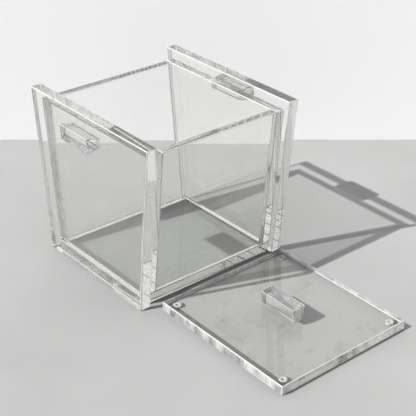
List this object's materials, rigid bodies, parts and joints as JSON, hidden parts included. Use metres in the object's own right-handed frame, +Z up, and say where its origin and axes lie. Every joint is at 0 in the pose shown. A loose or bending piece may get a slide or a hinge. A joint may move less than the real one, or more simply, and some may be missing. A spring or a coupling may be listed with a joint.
{
  "type": "acrylic display cube",
  "caption": "Open-topped display cube of thick clear acrylic sheet with tall outer side plates, block handles and a loose lid lying beside it.",
  "frame": {"origin": "centre of the outer plates' footprint, on the floor", "axes": "+Z up; -Y points out of the front wall, towards the lid on the floor; +X points from the left side plate to the right one"},
  "size_m": [0.4426, 0.7397, 0.37],
  "materials": {
    "sheet": "clear polished acrylic sheet, faint grey-green edges",
    "handle": "clear polished acrylic block",
    "plug": "milky white nylon"
  },
  "bodies": {
    "cube": {"base_plate": "sheet", "front_wall": "sheet", "back_wall": "sheet", "left_wall": "sheet", "right_wall": "sheet", "left_side_plate": "sheet", "right_side_plate": "sheet", "left_handle": "handle", "right_handle": "handle"},
    "lid": {"lid_plate": "sheet", "lid_handle": "handle", "lid_plug_1": "plug", "lid_plug_2": "plug", "lid_plug_3": "plug", "lid_plug_4": "plug"}
  },
  "joints": [
    {"name": "lid_lift", "type": "slide", "parent": "cube", "child": "lid", "axis": [0, -0.1736, 0.9848], "range_m": [0, 0.42]}
  ]
}
